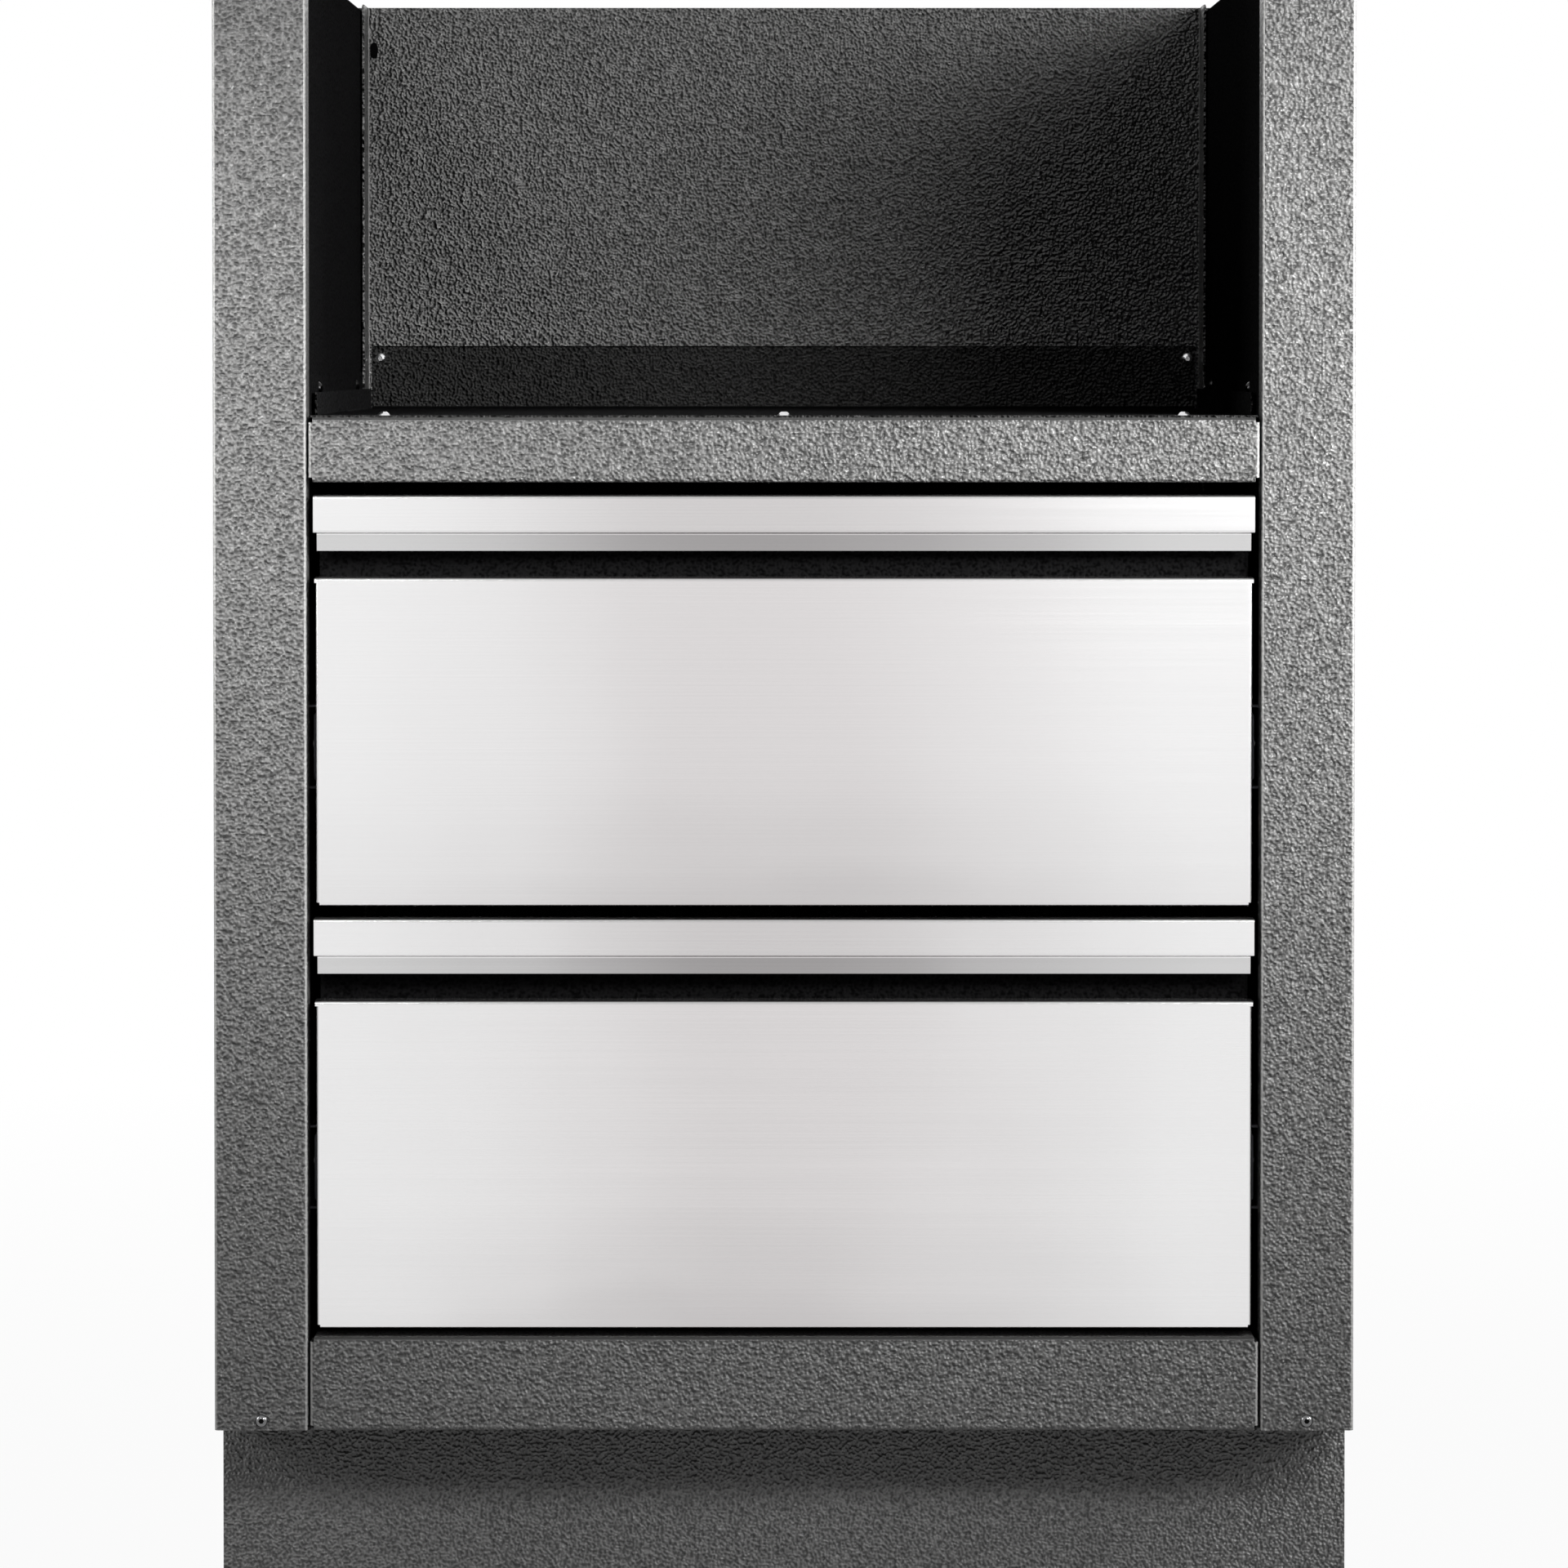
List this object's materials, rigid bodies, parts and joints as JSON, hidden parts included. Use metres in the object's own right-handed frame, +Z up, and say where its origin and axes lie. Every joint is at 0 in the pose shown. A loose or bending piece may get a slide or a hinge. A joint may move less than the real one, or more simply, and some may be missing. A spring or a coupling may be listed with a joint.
{
  "type": "outdoor kitchen cabinet module",
  "caption": "Free-standing outdoor kitchen cabinet module in hammertone sheet steel with an open burner bay above full-extension stainless-fronted drawers on a recessed plinth.",
  "frame": {"origin": "on the ground at the middle of the overall width and depth", "axes": "+X to the right when facing the drawers, -Y out of the front, +Z up"},
  "size_m": [0.61, 0.6038, 0.89],
  "materials": {
    "hammertone_paint": "charcoal hammertone powder coat, semi-gloss, orange-peel relief",
    "inner_hammertone_paint": "the same powder coat in black on the inner sheets",
    "brushed_stainless": "horizontally brushed stainless steel",
    "zinc_plated_steel": "bright zinc plate",
    "black_zinc_steel": "black zinc plate, satin",
    "screw_steel": "polished stainless steel",
    "black_plastic": "moulded black polyamide"
  },
  "bodies": {
    "cabinet": {"left_side_panel": "hammertone_paint", "right_side_panel": "hammertone_paint", "bay_back_panel": "hammertone_paint", "lower_back_panel": "hammertone_paint", "middle_rail": "hammertone_paint", "bottom_rail": "hammertone_paint", "bay_floor": "hammertone_paint", "toe_kick": "hammertone_paint", "left_liner": "inner_hammertone_paint", "right_liner": "inner_hammertone_paint", "left_floor_angle": "inner_hammertone_paint", "right_floor_angle": "inner_hammertone_paint", "bottom_panel": "inner_hammertone_paint", "plinth_left": "inner_hammertone_paint", "plinth_right": "inner_hammertone_paint", "plinth_rear": "inner_hammertone_paint", "foot_plates": "zinc_plated_steel", "upper_left_outer_runner": "black_zinc_steel", "upper_right_outer_runner": "black_zinc_steel", "lower_left_outer_runner": "black_zinc_steel", "lower_right_outer_runner": "black_zinc_steel", "angle_screws": "black_zinc_steel", "bay_screws": "screw_steel", "post_screws": "screw_steel", "runner_screws": "screw_steel", "slot_plug": "black_plastic"},
    "upper_drawer": {"upper_drawer_face": "brushed_stainless", "upper_drawer_handle": "brushed_stainless", "upper_drawer_inner_front": "inner_hammertone_paint", "upper_drawer_left_side": "inner_hammertone_paint", "upper_drawer_right_side": "inner_hammertone_paint", "upper_drawer_back": "inner_hammertone_paint", "upper_drawer_bottom": "inner_hammertone_paint", "upper_drawer_screws": "screw_steel", "upper_left_inner_runner": "black_zinc_steel", "upper_right_inner_runner": "black_zinc_steel"},
    "upper_middle_members": {"upper_middle_runners": "black_zinc_steel"},
    "upper_outer_cage_set": {"upper_outer_cages": "zinc_plated_steel", "upper_outer_balls": "screw_steel"},
    "upper_inner_cage_set": {"upper_inner_cages": "zinc_plated_steel", "upper_inner_balls": "screw_steel"},
    "lower_drawer": {"lower_drawer_face": "brushed_stainless", "lower_drawer_handle": "brushed_stainless", "lower_drawer_inner_front": "inner_hammertone_paint", "lower_drawer_left_side": "inner_hammertone_paint", "lower_drawer_right_side": "inner_hammertone_paint", "lower_drawer_back": "inner_hammertone_paint", "lower_drawer_bottom": "inner_hammertone_paint", "lower_drawer_screws": "screw_steel", "lower_left_inner_runner": "black_zinc_steel", "lower_right_inner_runner": "black_zinc_steel"},
    "lower_middle_members": {"lower_middle_runners": "black_zinc_steel"},
    "lower_outer_cage_set": {"lower_outer_cages": "zinc_plated_steel", "lower_outer_balls": "screw_steel"},
    "lower_inner_cage_set": {"lower_inner_cages": "zinc_plated_steel", "lower_inner_balls": "screw_steel"},
    "front_left_foot": {"front_left_foot": "black_plastic"},
    "front_right_foot": {"front_right_foot": "black_plastic"},
    "rear_left_foot": {"rear_left_foot": "black_plastic"},
    "rear_right_foot": {"rear_right_foot": "black_plastic"}
  },
  "joints": [
    {"name": "upper_drawer_slide", "type": "slide", "parent": "cabinet", "child": "upper_drawer", "axis": [0, -1, 0], "range_m": [0, 0.5]},
    {"name": "upper_middle_members_slide", "type": "slide", "parent": "cabinet", "child": "upper_middle_members", "axis": [0, -1, 0], "range_m": [0, 0.25]},
    {"name": "upper_outer_cage_set_slide", "type": "slide", "parent": "cabinet", "child": "upper_outer_cage_set", "axis": [0, -1, 0], "range_m": [0, 0.125]},
    {"name": "upper_inner_cage_set_slide", "type": "slide", "parent": "cabinet", "child": "upper_inner_cage_set", "axis": [0, -1, 0], "range_m": [0, 0.375]},
    {"name": "lower_drawer_slide", "type": "slide", "parent": "cabinet", "child": "lower_drawer", "axis": [0, -1, 0], "range_m": [0, 0.5]},
    {"name": "lower_middle_members_slide", "type": "slide", "parent": "cabinet", "child": "lower_middle_members", "axis": [0, -1, 0], "range_m": [0, 0.25]},
    {"name": "lower_outer_cage_set_slide", "type": "slide", "parent": "cabinet", "child": "lower_outer_cage_set", "axis": [0, -1, 0], "range_m": [0, 0.125]},
    {"name": "lower_inner_cage_set_slide", "type": "slide", "parent": "cabinet", "child": "lower_inner_cage_set", "axis": [0, -1, 0], "range_m": [0, 0.375]},
    {"name": "front_left_foot_screw", "type": "slide", "parent": "cabinet", "child": "front_left_foot", "axis": [0, 0, -1], "range_m": [0, 0.02]},
    {"name": "front_right_foot_screw", "type": "slide", "parent": "cabinet", "child": "front_right_foot", "axis": [0, 0, -1], "range_m": [0, 0.02]},
    {"name": "rear_left_foot_screw", "type": "slide", "parent": "cabinet", "child": "rear_left_foot", "axis": [0, 0, -1], "range_m": [0, 0.02]},
    {"name": "rear_right_foot_screw", "type": "slide", "parent": "cabinet", "child": "rear_right_foot", "axis": [0, 0, -1], "range_m": [0, 0.02]}
  ],
  "couplings": [
    {"joint": "upper_middle_members_slide", "follows": "upper_drawer_slide", "ratio": 0.5},
    {"joint": "upper_outer_cage_set_slide", "follows": "upper_drawer_slide", "ratio": 0.25},
    {"joint": "upper_inner_cage_set_slide", "follows": "upper_drawer_slide", "ratio": 0.75},
    {"joint": "lower_middle_members_slide", "follows": "lower_drawer_slide", "ratio": 0.5},
    {"joint": "lower_outer_cage_set_slide", "follows": "lower_drawer_slide", "ratio": 0.25},
    {"joint": "lower_inner_cage_set_slide", "follows": "lower_drawer_slide", "ratio": 0.75}
  ]
}
